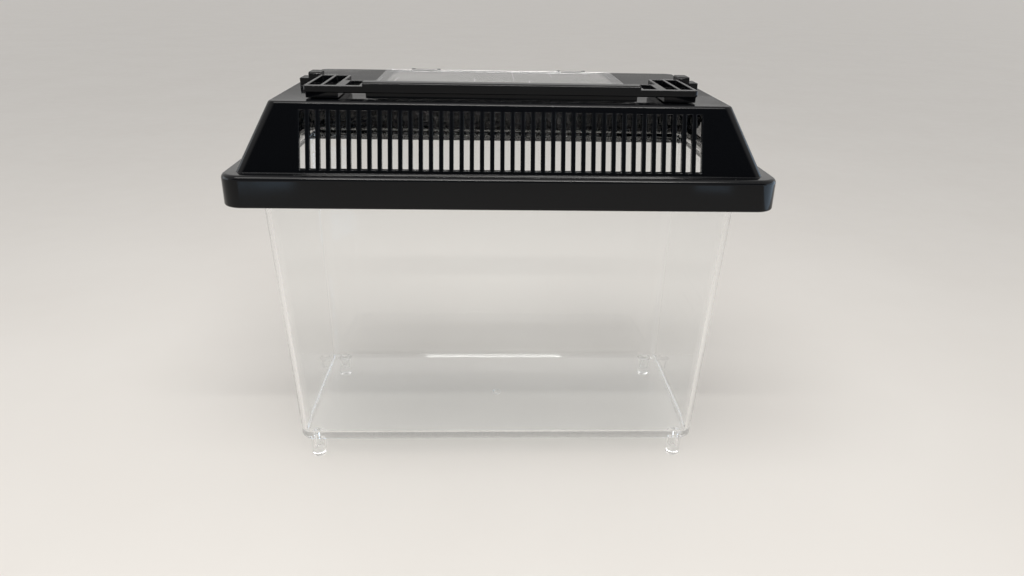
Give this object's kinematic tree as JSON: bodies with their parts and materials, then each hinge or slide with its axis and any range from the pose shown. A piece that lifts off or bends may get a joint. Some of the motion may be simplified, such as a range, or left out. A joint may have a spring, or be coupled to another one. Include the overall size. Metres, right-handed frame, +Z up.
{
  "type": "plastic pet keeper",
  "caption": "Small clear plastic tank on four short feet with a black vented lid, a clear hinged hatch in the lid and a fold-down black carrying handle.",
  "frame": {"origin": "on the ground under the middle of the lid's rim, which is the bottom centre of the whole object", "axes": "+X to the right along the long side, -Y to the front where the vent slots are, +Z up"},
  "size_m": [0.181, 0.112, 0.1481],
  "materials": {
    "clear_plastic": "clear polished polystyrene",
    "black_plastic": "black, glossy moulded",
    "clear_hatch": "clear polished polystyrene, a little hazy",
    "black_handle": "black, satin gloss"
  },
  "bodies": {
    "tank": {"tank": "clear_plastic"},
    "lid": {"lid": "black_plastic"},
    "hatch": {"hatch": "clear_hatch"},
    "handle": {"handle": "black_handle"}
  },
  "joints": [
    {"name": "lid_lift", "type": "slide", "parent": "tank", "child": "lid", "axis": [0, 0, 1], "range_m": [0, 0.08]},
    {"name": "hatch_hinge", "type": "hinge", "parent": "lid", "child": "hatch", "pos_m": [0, 0.0325, 0.1429], "axis": [-1, 0, 0], "range_deg": [0, 110]},
    {"name": "handle_swing", "type": "hinge", "parent": "lid", "child": "handle", "pos_m": [0, -0.005, 0.1446], "axis": [-1, 0, 0], "range_deg": [0, 170]}
  ]
}
